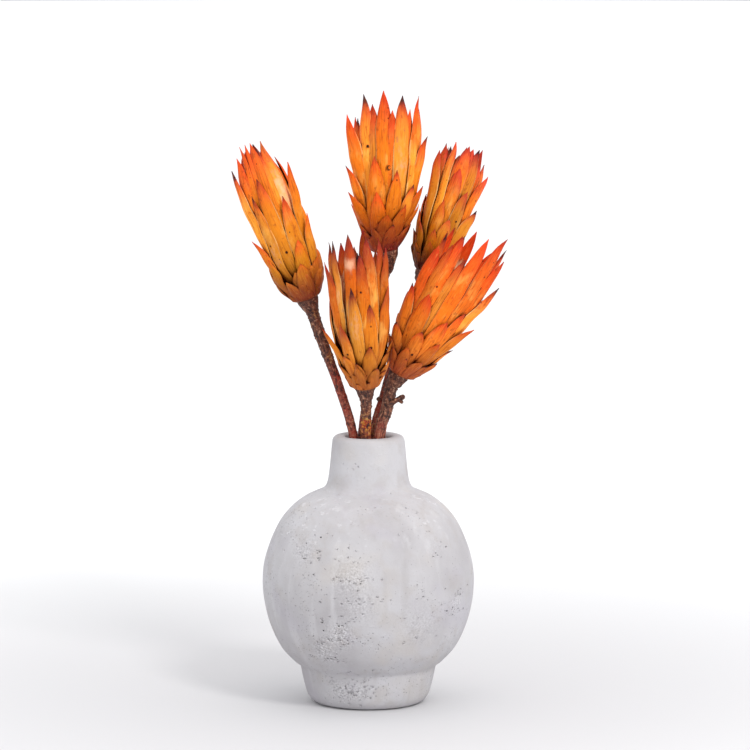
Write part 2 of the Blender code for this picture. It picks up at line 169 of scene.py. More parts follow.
OUTSIDE = [
    (19.0, 165.0), (20.9, 164.3), (22.1, 162.4), (22.7, 157.0), (23.8, 145.0),
    (24.6, 139.0), (25.7, 135.0), (28.0, 132.0), (32.5, 130.0), (39.5, 126.6), (47.5, 120.4),
    (54.6, 111.5), (60.5, 98.5), (64.0, 86.0), (65.0, 73.5), (63.8, 61.0),
    (60.0, 47.0), (53.5, 34.0), (45.4, 25.2), (42.4, 23.2), (41.4, 21.0),
    (40.7, 17.0), (39.0, 9.8), (37.2, 4.2), (34.4, 0.9), (31.5, 0.0),
    (0.0, 0.0),
]
# Patches of air holes in the concrete: degrees round from the front, height, spread and number.
PIT_PATCHES = [
    (-16, 51, 11, 130), (-27, 40, 10, 110), (-26, 13, 8, 60), (-8, 12, 8, 60), (-40, 100, 12, 44),
    (-9, 86, 16, 50), (56, 67, 9, 55), (0, 25, 6, 9), (-15, 24, 5, 9), (-20, 146, 5, 6),
    (-5, 70, 16, 40), (30, 56, 20, 30), (44, 104, 10, 16),
]
# The mesh of a bract, each layer's width as a share of the head's blade, and the turn from one thing
# to the next in a spiral, in radians.
BRACT_ROWS, BRACT_COLUMNS = 26, 8
LAYER_WIDTHS = (0.86, 0.98, 1.04, 1.06, 1.08, 1.04)
GOLDEN = 2.4
# How many ways and how far a point looks for the light.
SKY_RAYS, SKY_REACH = 12, 16.0
VASE_SIDES = 150
# The stage, in metres and degrees.
FLOOR_R, FLOOR_Z, FLOOR_SIDES = 8.0, -0.0004, 64
KEY_PLACE, KEY_TARGET = (0.9, -1.5, 1.5), (0.0, 0.0, 0.22)
CAMERA_PLACE, CAMERA_DOWN, CAMERA_LENS = (0.0041, -3.0, 0.594), 7.44, 236.98


# ---------------------------------------------------------------- node materials

class Nodes:
    """A short way to write the node tree of a material or a world."""

    def __init__(self, owner):
        owner.use_nodes = True
        self.owner, self.tree, self.colour = owner, owner.node_tree, None

    def put(self, socket, value):
        if isinstance(value, bpy.types.NodeSocket):
            self.tree.links.new(value, socket)
        elif value is not None:
            socket.default_value = value

    def add(self, kind, inputs=(), **settings):
        node = self.tree.nodes.new(kind)
        for key, value in settings.items():
            setattr(node, key, value)
        for key, value in dict(inputs).items():
            self.put(node.inputs[key], value)
        return node

    def surface(self, inputs):
        """Sets the Principled shader's colour and other inputs, and returns the material."""
        for key, value in {"Base Color": self.colour, **inputs}.items():
            self.put(self.tree.nodes["Principled BSDF"].inputs[key], value)
        return self.owner

    def place(self, kind="Object"):
        return self.add("ShaderNodeTexCoord").outputs[kind]

    def attribute(self, name):
        return self.add("ShaderNodeAttribute", attribute_name=name).outputs["Fac"]

    def math(self, operation, a, b=None, c=None):
        return self.add("ShaderNodeMath", {0: a, 1: b, 2: c}, operation=operation).outputs[0]

    def times(self, a, b):
        return self.math("MULTIPLY", a, b)

    def plus(self, a, b):
        return self.math("ADD", a, b)

    def minus(self, a, b):
        return self.math("SUBTRACT", a, b)

    def stray(self, value, noisy, share):
        """The value moved up or down by a share of the noise."""
        return self.plus(value, self.times(self.minus(noisy, 0.5), share))

    def again(self, luck, factor):
        """Another random number from 0 to 1, made from luck."""
        return self.math("FRACT", self.times(luck, factor))

    def step(self, value, low, high, bottom=0.0, top=1.0):
        """The bottom value below low, the top value above high, smooth between."""
        return self.add("ShaderNodeMapRange", {"Value": value, "From Min": low, "From Max": high,
                                               "To Min": bottom, "To Max": top},
                        interpolation_type="SMOOTHSTEP").outputs["Result"]

    def ramp(self, fac, *stops):
        node = self.add("ShaderNodeValToRGB", {"Fac": fac})
        bar = node.color_ramp
        while len(bar.elements) < len(stops):
            bar.elements.new(0.5)
        for element, (where, colour) in zip(bar.elements, stops):
            element.position = where
            element.color = (*colour, 1.0)
        return node.outputs["Color"]

    def mix(self, fac, a, b, kind="MIX"):
        node = self.add("ShaderNodeMix", {"Factor": fac}, data_type="RGBA", blend_type=kind)
        for key, value in (("A", a), ("B", b)):
            self.put(node.inputs[key], (*value, 1.0) if isinstance(value, tuple) else value)
        return node.outputs["Result"]

    def tint(self, mask, share, other):
        """Turns the material's colour by this share towards the other where the mask is 1."""
        self.colour = self.mix(self.times(mask, share), self.colour, other)

    def vector(self, x, y, z):
        return self.add("ShaderNodeCombineXYZ", {"X": x, "Y": y, "Z": z}).outputs[0]

    def scaled(self, vector, *scale):
        return self.add("ShaderNodeMapping", {"Vector": vector, "Scale": scale}).outputs[0]

    def noise(self, vector, scale, detail=3.0, rough=0.55):
        return self.add("ShaderNodeTexNoise", {"Vector": vector, "Scale": scale, "Detail": detail,
                                               "Roughness": rough}).outputs["Fac"]

    def cells(self, vector, scale):
        """A random number for each cell, and the distance from its middle."""
        node = self.add("ShaderNodeTexVoronoi", {"Vector": vector, "Scale": scale})
        pick = self.add("ShaderNodeSeparateColor", {"Color": node.outputs["Color"]}).outputs[0]
        return pick, node.outputs["Distance"]

    def bump(self, height, strength, distance, normal=None):
        return self.add("ShaderNodeBump", {"Height": height, "Strength": strength,
                                           "Distance": distance, "Normal": normal}).outputs[0]


def blend(a, b, share):
    return tuple(x + (y - x) * share for x, y in zip(a, b))


def rgb(red, green, blue):
    """Scene-linear colour from the usual 0 to 255 values."""
    def linear(value):
        value /= 255.0
        return value / 12.92 if value <= 0.04045 else ((value + 0.055) / 1.055) ** 2.4
    return (linear(red), linear(green), linear(blue))


def bract_material(name, head):
    scale, low, middle, high, tip = [rgb(*tone) for tone in head["tones"]]
    n = Nodes(bpy.data.materials.new(name))
    along, across, luck = n.attribute("along"), n.attribute("across"), n.attribute("luck")
    rise, width, length = n.attribute("rise"), n.attribute("bx"), n.attribute("by")
    clear, pale = n.attribute("clear"), n.attribute("pale")
    seed = n.times(luck, 97.0)

    def stretched(wide, long, detail):
        place = n.vector(n.times(width, wide), n.times(length, long), seed)
        return n.noise(place, 1.0, detail)

    streaks, fibres = stretched(1.4, 0.09, 4.0), stretched(5.0, 0.22, 2.0)
    blotch, cloud = stretched(0.20, 0.07, 3.0), stretched(0.45, 0.22, 4.0)
    shifted = n.stray(rise, cloud, 0.16)
    n.colour = n.ramp(shifted, (0.02, scale), (0.13, blend(scale, low, 0.45)), (0.22, low),
                      (0.48, middle), (0.80, high), (1.0, blend(high, tip, 0.4)))
    # Some bracts are more yellow and some more red than the rest.
    yellow = n.times(n.step(luck, 0.55, 0.90), n.step(rise, 0.12, 0.34))
    n.tint(yellow, 0.62, blend(low, rgb(255, 172, 62), 0.8))
    brown = n.step(n.again(luck, 13.7), 0.55, 0.95)
    n.tint(brown, 0.35, blend(low, scale, 0.35))
    russet = n.times(n.step(luck, 0.28, 0.04), n.step(rise, 0.10, 0.40))
    n.tint(russet, 0.45, blend(high, tip, 0.6))
    # Red creeping down from the tip and the margins, then a dark dry point.
    edge = n.math("ABSOLUTE", across)
    warm = n.stray(along, blotch, 0.45)
    warm = n.plus(warm, n.times(n.math("POWER", edge, 3.0), 0.10))
    warm = n.times(n.step(warm, 0.66, 1.04), n.step(rise, 0.06, 0.36))
    n.tint(warm, 0.85, tip)
    point = n.stray(along, luck, 0.12)
    point = n.stray(point, cloud, 0.10)
    dry = n.step(n.again(luck, 7.31), 0.95 - head["dark"], 1.25 - head["dark"])
    plum = n.times(n.step(point, 0.87, 0.99), dry)
    n.tint(plum, 0.60, rgb(136, 26, 34))
    n.tint(n.step(point, 0.955, 1.01), dry, rgb(58, 26, 34))
    # Bleached patches and, here and there, a pale margin.
    bleach = n.times(n.step(blotch, 0.50, 0.70), n.step(along, 0.94, 0.55))
    bleach = n.times(bleach, n.step(rise, 0.16, 0.42))
    n.tint(bleach, 0.50, rgb(255, 192, 96))
    side = n.stray(edge, streaks, 0.30)
    # The pale margin is partly a dry edge and partly a painted highlight where the bract's edge catches the
    # light.
    pale_margin_and_highlight = n.times(n.step(side, 0.84, 1.0), n.step(along, 0.92, 0.70))
    pale_margin_and_highlight = n.times(pale_margin_and_highlight, n.times(n.step(luck, 0.15, 0.65), n.step(rise, 0.22, 0.45)))
    n.tint(pale_margin_and_highlight, 0.80, rgb(255, 212, 140))
    # The old scales at the foot have brown, frayed margins.
    worn = n.times(n.step(side, 0.66, 1.0), n.step(rise, 0.26, 0.10))
    n.tint(worn, 0.55, blend(scale, rgb(60, 28, 20), 0.5))
    # Lengthwise fibres, faint stains and insect holes.
    n.tint(n.step(streaks, 0.46, 0.74), 0.55, rgb(150, 56, 12))
    n.tint(n.step(fibres, 0.55, 0.80), 0.36, rgb(255, 186, 92))
    n.tint(n.step(cloud, 0.58, 0.70), 0.42, rgb(140, 56, 22))
    holes = None
    for share, keep, radius in ((0.40, 0.93, 0.18), (0.22, 0.95, 0.15)):
        place = n.vector(n.times(width, share), n.times(length, 0.7 * share), seed)
        pick, distance = n.cells(place, 1.0)
        spot = n.times(n.step(pick, keep, keep + 0.01), n.step(distance, radius, 0.5 * radius))
        holes = spot if holes is None else n.math("MAXIMUM", holes, spot)
    n.tint(holes, 0.80, rgb(70, 32, 18))
    pale = n.step(n.stray(pale, cloud, 1.2), 0.25, 1.0)
    n.tint(pale, 0.72, rgb(250, 194, 156))
    # Insect holes: a darker crust, and painted shade in their sunken middles.
    n.tint(n.attribute("spot"), 1.0, rgb(44, 20, 14))
    # Painted shade: where other bracts keep the light from a point, its colour is darkened to a deep red
    # brown, as light bounced off orange would leave it.
    bright = n.plus(0.86, n.times(n.again(luck, 29.3), 0.34))
    painted_shade = n.mix(n.step(clear, 0.08, 0.66), (0.22, 0.07, 0.02), (1.0, 1.0, 1.0))
    colour = n.mix(1.0, n.colour, painted_shade, "MULTIPLY")
    n.colour = n.add("ShaderNodeVectorMath", {0: colour, "Scale": bright}, operation="SCALE").outputs[0]
    rough = n.plus(n.plus(0.44, n.times(streaks, 0.22)), n.times(worn, 0.2))
    relief = n.minus(n.plus(n.times(streaks, 0.75), n.times(fibres, 0.25)), n.times(holes, 0.7))
    return n.surface({"Roughness": rough, "Specular IOR Level": 0.10,
                      "Normal": n.bump(relief, 0.60, 0.0005)})


def bark_material():
    n = Nodes(bpy.data.materials.new("protea_bark"))
    place = n.place()
    along, turn, old = n.attribute("by"), n.attribute("turn"), n.attribute("old")
    line = n.vector(n.times(turn, 1.6), n.times(along, 0.14), old)
    grain = n.noise(line, 1.0, 5.0, 0.65)
    flecks, patch = n.noise(place, 520.0, 3.0, 0.7), n.noise(place, 95.0, 3.0)
    young = n.ramp(grain, (0.28, rgb(70, 22, 16)), (0.44, rgb(140, 54, 38)), (0.58, rgb(182, 90, 66)),
                   (0.78, rgb(214, 140, 108)))
    dark = n.ramp(grain, (0.28, rgb(34, 16, 12)), (0.46, rgb(88, 42, 30)), (0.60, rgb(138, 82, 58)),
                  (0.80, rgb(190, 142, 104)))
    n.colour = n.mix(n.step(n.plus(old, n.times(patch, 0.5)), 0.45, 0.95), young, dark)
    dye = n.times(n.step(patch, 0.50, 0.62), n.step(old, 0.7, 0.2))
    n.tint(dye, 0.62, rgb(184, 44, 18))
    moss = n.times(n.step(patch, 0.40, 0.32), n.step(flecks, 0.48, 0.56))
    n.tint(moss, 0.60, rgb(170, 126, 46))
    # One stem is paler below its neck, and dye has run down another to the mouth of the vase.
    pale = n.times(n.attribute("tone"), n.step(grain, 0.40, 0.62))
    pale = n.times(pale, n.step(old, 1.0, 0.3))
    n.tint(pale, 0.55, rgb(204, 134, 102))
    n.tint(n.step(flecks, 0.55, 0.66), 0.65, rgb(214, 164, 132))
    n.tint(n.step(flecks, 0.47, 0.38), 0.85, rgb(30, 12, 10))
    run = n.times(n.attribute("dyed"), n.step(n.noise(place, 260.0, 3.0, 0.6), 0.42, 0.56))
    n.tint(run, 0.85, n.ramp(
        flecks, (0.36, rgb(120, 20, 8)), (0.48, rgb(204, 70, 14)), (0.60, rgb(216, 158, 44))))
    scar = n.attribute("scar")
    ledge = n.times(n.step(scar, 0.45, 0.95), n.step(flecks, 0.42, 0.58))
    n.tint(ledge, 0.40, rgb(156, 112, 84))
    n.tint(n.step(scar, 0.30, 0.05), 0.25, rgb(22, 12, 10))
    return n.surface({"Roughness": n.plus(0.55, n.times(grain, 0.3)),
                      "Normal": n.bump(n.plus(grain, flecks), 0.9, 0.0006)})


def floret_material():
    n = Nodes(bpy.data.materials.new("protea_florets"))
    along, luck = n.attribute("along"), n.attribute("luck")
    down = n.noise(n.place(), 1400.0, 2.0)
    # The styles run from orange brown to pale tips; the darker red brown at their feet, deep in the head,
    # is painted shade.
    n.colour = n.ramp(along, (0.0, rgb(84, 24, 10)), (0.45, rgb(150, 62, 22)), (0.82, rgb(214, 132, 80)),
                      (0.93, rgb(240, 190, 148)), (1.0, rgb(150, 66, 36)))
    n.tint(luck, 0.45, rgb(176, 74, 28))
    n.tint(n.step(down, 0.5, 0.7), 0.25, rgb(250, 206, 164))
    return n.surface({"Roughness": 0.8, "Specular IOR Level": 0.10,
                      "Normal": n.bump(down, 0.5, 0.0003)})


def concrete_material():
    n = Nodes(bpy.data.materials.new("pale_concrete"))
    place = n.place()
    height = n.add("ShaderNodeSeparateXYZ", {"Vector": place}).outputs["Z"]
    clouds, mottle = n.noise(place, 16.0, 5.0, 0.55), n.noise(place, 70.0, 4.0, 0.6)
    grain, warm = n.noise(place, 900.0, 3.0, 0.6), n.noise(place, 22.0, 3.0)
    streak = n.noise(n.scaled(place, 85.0, 85.0, 7.0), 1.0, 4.0)
    body = n.times(n.step(height, 0.142, 0.122), 0.45)
    n.colour = n.ramp(clouds, (0.32, rgb(174, 171, 174)), (0.5, rgb(190, 188, 191)),
                      (0.68, rgb(201, 200, 204)))
    n.tint(n.step(mottle, 0.50, 0.72), 0.35, rgb(176, 169, 165))
    n.tint(n.step(streak, 0.56, 0.76), body, rgb(166, 162, 162))
    n.tint(n.step(streak, 0.44, 0.28), body, rgb(210, 209, 212))
    n.tint(n.step(warm, 0.54, 0.70), 0.32, rgb(198, 190, 181))
    n.tint(n.step(warm, 0.46, 0.34), 0.35, rgb(184, 180, 190))
    n.tint(n.step(grain, 0.55, 0.80), 0.25, rgb(150, 146, 146))
    # Chalky scuffs, most of them on the shoulder.
    chalk = n.noise(n.scaled(place, 150.0, 150.0, 260.0), 1.0, 5.0, 0.6)
    chalk = n.times(n.step(chalk, 0.58, 0.68), n.step(clouds, 0.44, 0.56))
    high = n.times(n.step(height, 0.088, 0.110), n.step(height, 0.136, 0.126))
    high = n.plus(0.12, n.times(high, 0.75))
    n.tint(n.times(chalk, high), 0.75, rgb(222, 221, 225))
    # Pin holes between the larger pits, painted dark for the shade inside them.
    near = n.step(n.noise(place, 34.0, 2.0, 0.4), 0.50, 0.66)
    pins = None
    for size, share in ((1150.0, 0.84), (640.0, 0.90)):
        pick, distance = n.cells(place, size)
        keep = n.step(n.plus(pick, n.times(near, 0.22)), share + 0.13, share + 0.15)
        pin = n.times(keep, n.step(distance, 0.34, 0.20))
        pins = pin if pins is None else n.math("MAXIMUM", pins, pin)
    pins = n.times(pins, n.step(height, 0.140, 0.126))
    n.tint(pins, 0.45, rgb(92, 88, 88))
    # Where the air holes crowd, the skin is broken into pale rims, and dark specks paint the shade in tiny
    # pits.
    crowd = n.attribute("crowd")
    pocks = n.noise(place, 900.0, 2.0, 0.5)
    rims = n.times(n.step(pocks, 0.53, 0.62), crowd)
    specks = n.times(n.step(pocks, 0.43, 0.36), crowd)
    n.tint(rims, 0.75, rgb(228, 227, 230))
    n.tint(specks, 0.55, rgb(112, 108, 110))
    # Painted shade: the walls of the air holes are darkened.
    n.tint(n.attribute("pit"), 0.80, rgb(58, 55, 56))
    fine = n.bump(grain, 0.30, 0.0003)
    low = n.bump(n.plus(mottle, n.times(chalk, 0.5)), 0.35, 0.0008, fine)
    broken = n.plus(n.minus(1.0, pins), n.times(crowd, pocks))
    return n.surface({"Roughness": n.plus(0.82, n.times(mottle, 0.15)),
                      "Specular IOR Level": 0.25, "Normal": n.bump(broken, 0.6, 0.0005, low)})


# ---------------------------------------------------------------- helpers

def soft(value):
    value = np.clip(value, 0.0, 1.0)
    return value * value * (3.0 - 2.0 * value)


def new_object(name, data):
    made = bpy.data.objects.new(name, data)
    bpy.context.scene.collection.objects.link(made)
    return made


def walls(rows, sides, first=0, flipped=False):
    """The four-sided faces between rings of points; flipped where the rings run the other way."""
    faces = []
    for i in range(rows - 1):
        a, b = first + i * sides, first + (i + 1) * sides
        for s in range(sides):
            n = (s + 1) % sides
            faces.append((a + s, b + s, b + n, a + n) if flipped else (a + s, a + n, b + n, b + s))
    return faces


def caps(rows, sides):
    return [tuple(range(sides - 1, -1, -1)), tuple(range((rows - 1) * sides, rows * sides))]


def make_piece(name, points, faces, material, nodes, attributes=(), place=None):
    """A mesh object in the frame's metres that rides on the body and stands for CAD nodes."""
    mesh = bpy.data.meshes.new(name)
    points = np.asarray(points, float) * MM
    if place is not None:
        turn = np.array(place)
        points = points @ turn[:3, :3].T + turn[:3, 3]
    mesh.from_pydata(points.tolist(), [], faces)
    for key, values in dict(attributes).items():
        layer = mesh.attributes.new(key, "FLOAT", "POINT")
        layer.data.foreach_set("value", np.asarray(values, np.float32))
    mesh.validate()
    mesh.polygons.foreach_set("use_smooth", [True] * len(mesh.polygons))
    mesh.materials.append(material)
    made = new_object(name, mesh)
    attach(made, "root")
    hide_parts(*nodes)
    return made


def place_of(head):
    turn = Matrix.Rotation(math.radians(head["right"]), 4, "Y")
    turn = turn @ Matrix.Rotation(math.radians(head["front"]), 4, "X")
    return Matrix.Translation(Vector(head["base"]) * MM) @ turn


def lobes_of(name, head, layer):
    """The bracts of one layer as [degrees, tip share, tip radius share or None], as in the frame."""
    luck = random.Random(name + str(layer))
    known = sorted([float(b[1]), b[2], b[3]] for b in head["bracts"] if b[0] == layer)
    gaps = []
    for i, (turn, _, _) in enumerate(known):
        after = known[(i + 1) % len(known)][0] + (360.0 if i == len(known) - 1 else 0.0)
        gaps.append([turn, after - turn, 0])
    for _ in range(LAYER_COUNT - len(known)):
        widest = max(gaps, key=lambda gap: gap[1] / (gap[2] + 1))
        widest[2] += 1
    found = list(known)
    for turn, span, number in gaps:
        for i in range(number):
            where = turn + span * (i + 1 + luck.uniform(-0.06, 0.06)) / (number + 1)
            tip = min(LAYER_TIPS[layer] * luck.uniform(0.93, 1.05), 1.0)
            found.append([(where + 180.0) % 360.0 - 180.0, tip, None])
    return sorted(found, key=lambda lobe: lobe[0])


def envelope(head):
    """A smooth outline of the head: radius share sampled along its length from -0.1 to 1.1."""
    at = np.linspace(-0.1, 1.1, 241)
    plain = np.interp(at, SHARES, head["shape"])
    kernel = np.hanning(17)
    padded = np.pad(plain, 8, mode="edge")
    return at, np.convolve(padded, kernel / kernel.sum(), mode="valid")


def layer_radius(head, outline, tips, layer, share):
    share = np.asarray(share, float)
    inset = np.zeros_like(share)
    for outer in range(layer):
        inset += 1.0 - soft((share - tips[outer] - 0.01) / 0.14)
    return np.interp(share, *outline) * head["wide"] - STEP_IN * inset


# ---------------------------------------------------------------- flower heads

def bract_midline(head, outline, tips, layer, tip, reach, inset, luck):
    """The bract's middle, from the neck out to its layer's surface and up to the tip.

    It returns shares of the length, (radius, height) at each, and the length."""
    long = head["long"]
    ring = FIRST_RING + RING_STEP * layer
    foot = max(LAYER_FEET[layer], (ring + 0.5 * RING_STEP) / long)
    share = np.concatenate([[ring / long], np.linspace(min(foot, tip - 0.02), tip, 60)])
    radius = layer_radius(head, outline, tips, layer, share) - inset
    radius[0] = FOOT_R
    start, bow = max([0.3 * tip] + [tips[outer] + 0.01 for outer in range(layer)]), 2.0
    if reach is None:
        goal = radius[-1] + luck.uniform(-0.5, 0.8) + 0.8 * head["flare"]
    else:
        goal = reach * head["wide"]
        start, bow = min(start, 0.40 * tip), 1.5
    if tip > start:
        radius = radius + (goal - radius[-1]) * np.clip((share - start) / (tip - start), 0, 1) ** bow
    line = np.stack([radius, share * long], 1)
    for _ in range(4):
        line[1:-1] = 0.25 * line[:-2] + 0.5 * line[1:-1] + 0.25 * line[2:]
    step = np.concatenate([[0], np.cumsum(np.linalg.norm(np.diff(line, axis=0), axis=1))])
    t = np.linspace(0, 1, BRACT_ROWS + 1)
    t = 0.5 * t + 0.5 * (1 - (1 - t) ** 1.7)
    return t, np.stack([np.interp(t * step[-1], step, line[:, i]) for i in range(2)], 1), step[-1]


def shell_faces(rows, columns):
    """The faces of a closed sheet whose outer points come first and inner ones after, row by row."""
    total, faces = rows * columns, []
    for i in range(rows - 1):
        for j in range(columns - 1):
            a, b = i * columns + j, (i + 1) * columns + j
            faces.append((a, a + 1, b + 1, b))
            faces.append((a + total, b + total, b + 1 + total, a + 1 + total))
        a, b = i * columns, (i + 1) * columns
        faces.append((a, b, b + total, a + total))
        a, b = a + columns - 1, b + columns - 1
        faces.append((a, a + total, b + total, b))
    for j in range(columns - 1):
        faces.append((j, j + total, j + 1 + total, j + 1))
        a = (rows - 1) * columns + j
        faces.append((a, a + 1, a + 1 + total, a + total))
    return faces


def bract_mesh(head, outline, tips, layer, lobe, luck, spin):
    """One boat-shaped bract: (points, faces, attributes) in the head's own millimetres."""
    turn, tip, reach, inset, size, face, lot, marks = lobe
    t, mid, length = bract_midline(head, outline, tips, layer, tip, reach, inset, luck)
    # Broad for most of its length, then drawn to a point; cupped more and more towards the tip.
    widest = head["waist"] if layer < 4 else 0.50
    u = np.clip((t - widest) / (1 - widest), 0, 1)
    blunt = head["blunt"] * luck.uniform(0.85, 1.2) * (1.0 if layer > 3 else 0.72)
    half = np.where(t < widest, 0.58 + 0.42 * np.sin(np.pi / 2 * np.clip(t / widest, 0, 1)), 1 - u ** blunt)
    width = head["blade"] * LAYER_WIDTHS[layer] * size * luck.uniform(0.82, 1.16)
    width *= head["crown"] if layer > 3 else 1.0
    hug = np.arcsin(np.clip(width * half / (mid[:, 0] + 2.0), 0.1, 0.85))
    cup = hug + (math.radians(luck.uniform(46, 66)) - hug) * soft((t - 0.12) / 0.6)
    seed = luck.uniform(0, 900)
    side = np.linspace(-1, 1, BRACT_COLUMNS + 1)
    bend = math.radians(luck.uniform(-4.0, 4.0))
    lean = math.tan(math.radians(spin + luck.uniform(-11.0, 11.0)))
    hook = luck.uniform(-1.0, 1.0) + head["flare"] if reach is None else luck.uniform(-0.4, 0.4)
    lift = luck.uniform(-0.3, 0.5) if reach is None else luck.uniform(-0.3, 1.3)
    count = BRACT_COLUMNS + 1
    outer = np.zeros((len(t), count, 3))
    for i, where in enumerate(t):
        w = max(width * half[i], 0.16)
        arc = w / math.sin(cup[i])
        late = max(0.0, where - 0.8) / 0.2
        a = math.radians(turn) + bend * (where * where - 1.0)
        for j, x in enumerate(side):
            ragged = 1.0 + 0.10 * noise.noise((where * 6.0, seed, 3.0 if x > 0 else 5.0)) * abs(x)
            phi = x * cup[i]
            across = arc * math.sin(phi) * ragged
            slant = lean * min(1.0, 2.5 * where) + face * float(soft((where - 0.25) / 0.4))
            r = mid[i, 0] - arc * (1.0 - math.cos(phi)) + across * slant
            r += 0.35 * noise.noise((where * 3.0, seed, 11.0)) * min(1.0, 3.0 * where)
            r += 0.45 * noise.noise((where * 4.5, seed, 17.0 + 1.3 * x)) * x * x * min(1.0, 3.0 * where)
            r += 0.22 * noise.noise((where * 1.6, seed, 23.0 + 3.1 * x)) * half[i]
            r += 0.16 * max(0.0, 1.0 - abs(x) * 3.2) * half[i] + hook * late * late + lift * where
            sway = head["sway"] * (1.0 - float(soft(mid[i, 1] / (0.5 * head["long"]))))
            outer[i, j] = (r * math.sin(a) + across * math.cos(a) + sway,
                           -r * math.cos(a) + across * math.sin(a), mid[i, 1])
    ds = np.gradient(outer, axis=0)
    dx = np.gradient(outer, axis=1)
    normal = np.cross(dx, ds)
    normal /= np.maximum(np.linalg.norm(normal, axis=2, keepdims=True), 1e-9)
    thick = 0.16 + 0.42 * (1 - np.abs(side[None, :]) ** 2.5) * (1 - 0.7 * t[:, None] ** 3)
    inner = outer - normal * thick[..., None]
    points = np.concatenate([outer.reshape(-1, 3), inner.reshape(-1, 3)])
    faces = shell_faces(len(t), count)
    grid_x, half_width = np.tile(side, len(t)), np.repeat(width * half, count)
    facts = {
        "along": np.tile(np.repeat(t, count), 2), "across": np.tile(grid_x, 2),
        "rise": np.tile(np.repeat(mid[:, 1] / head["long"], count), 2),
        "bx": np.tile(grid_x * half_width, 2), "by": np.tile(np.repeat(t * length, count), 2),
        "luck": np.full(len(points), lot), "pale": np.zeros(len(points)), "spot": np.zeros(len(points)),
    }
    facts["facing"] = np.concatenate([normal.reshape(-1, 3), -normal.reshape(-1, 3)])
    if marks in head["pale"]:
        centre, spread, strength = head["pale"][marks]
        facts["pale"] = strength * np.exp(-((facts["along"] - centre) / spread) ** 2) * (
            1.0 - 0.6 * facts["across"] ** 2)
    if marks in head["holes"]:
        centre, aside, size = head["holes"][marks]
        i = int(round(np.interp(centre, t, np.arange(len(t)))))
        j = int(round((aside + 1) / 2 * BRACT_COLUMNS))
        spot = crater(outer[i, j], normal[i, j], size, seed)
        rows = {key: np.full(len(spot[0]), values[i * count + j]) for key, values in facts.items()
                if key != "facing"}
        rows["spot"] = spot[2]
        rows["facing"] = np.tile(normal[i, j], (len(spot[0]), 1))
        return gather([(points, faces, facts), (spot[0], spot[1], rows)])
    return points, faces, facts


def crater(place, normal, size, seed):
    """A crusted, darker ring round a sunken middle, as an insect leaves, whose near-black middle is painted
    shade in the hole: (points, faces, darkness).
    """
    aside = np.cross(normal, [0.0, 0.0, 1.0])
    aside /= np.linalg.norm(aside)
    up = np.cross(aside, normal)
    sides = 14
    points, dark = [], []
    for reach, high, tone in ((1.02, -0.35, 0.1), (1.0, 0.0, 0.25), (0.86, 0.26, 0.6), (0.66, 0.30, 0.85),
                              (0.50, 0.10, 1.0), (0.15, 0.02, 1.0)):
        for s in range(sides):
            a = 2 * math.pi * s / sides
            wide = size * reach * (1.0 + 0.22 * noise.noise((1.6 * math.cos(a), 1.6 * math.sin(a), seed)))
            points.append(place + aside * wide * math.cos(a) + up * wide * 1.15 * math.sin(a)
                          + normal * size * high)
            dark.append(tone)
    faces = [tuple(range(sides)), tuple(range(6 * sides - 1, 5 * sides - 1, -1))]
    return np.array(points), faces + walls(6, sides, flipped=True), np.array(dark)


def openness(points, facing, tree):
    """For each point, the share of the light from around it that other bracts let through."""
    rays = []
    for k in range(SKY_RAYS):
        u = (k + 0.5) / SKY_RAYS
        wide, a = math.sqrt(u), GOLDEN * k
        rays.append((wide * math.cos(a), wide * math.sin(a), math.sqrt(1.0 - u)))
    found = np.zeros(len(points))
    for i, (point, normal) in enumerate(zip(points, facing)):
        up = Vector(normal)
        side = up.orthogonal().normalized()
        other = up.cross(side)
        start = Vector(point) + up * 0.25
        free = 0.0
        for x, y, z in rays:
            hit = tree.ray_cast(start, side * x + other * y + up * z, SKY_REACH)[3]
            free += 1.0 if hit is None else 0.5 * hit / SKY_REACH
        found[i] = free / len(rays)
    return found


def gather(parts):
    """Joins (points, faces, attributes) parts into one."""
    points, faces, facts, base = [], [], {}, 0
    for some, these, known in parts:
        points.append(some)
        faces += [tuple(v + base for v in face) for face in these]
        base += len(some)
        for key, values in known.items():
            facts.setdefault(key, []).append(values)
    return np.concatenate(points), faces, {k: np.concatenate(v) for k, v in facts.items()}


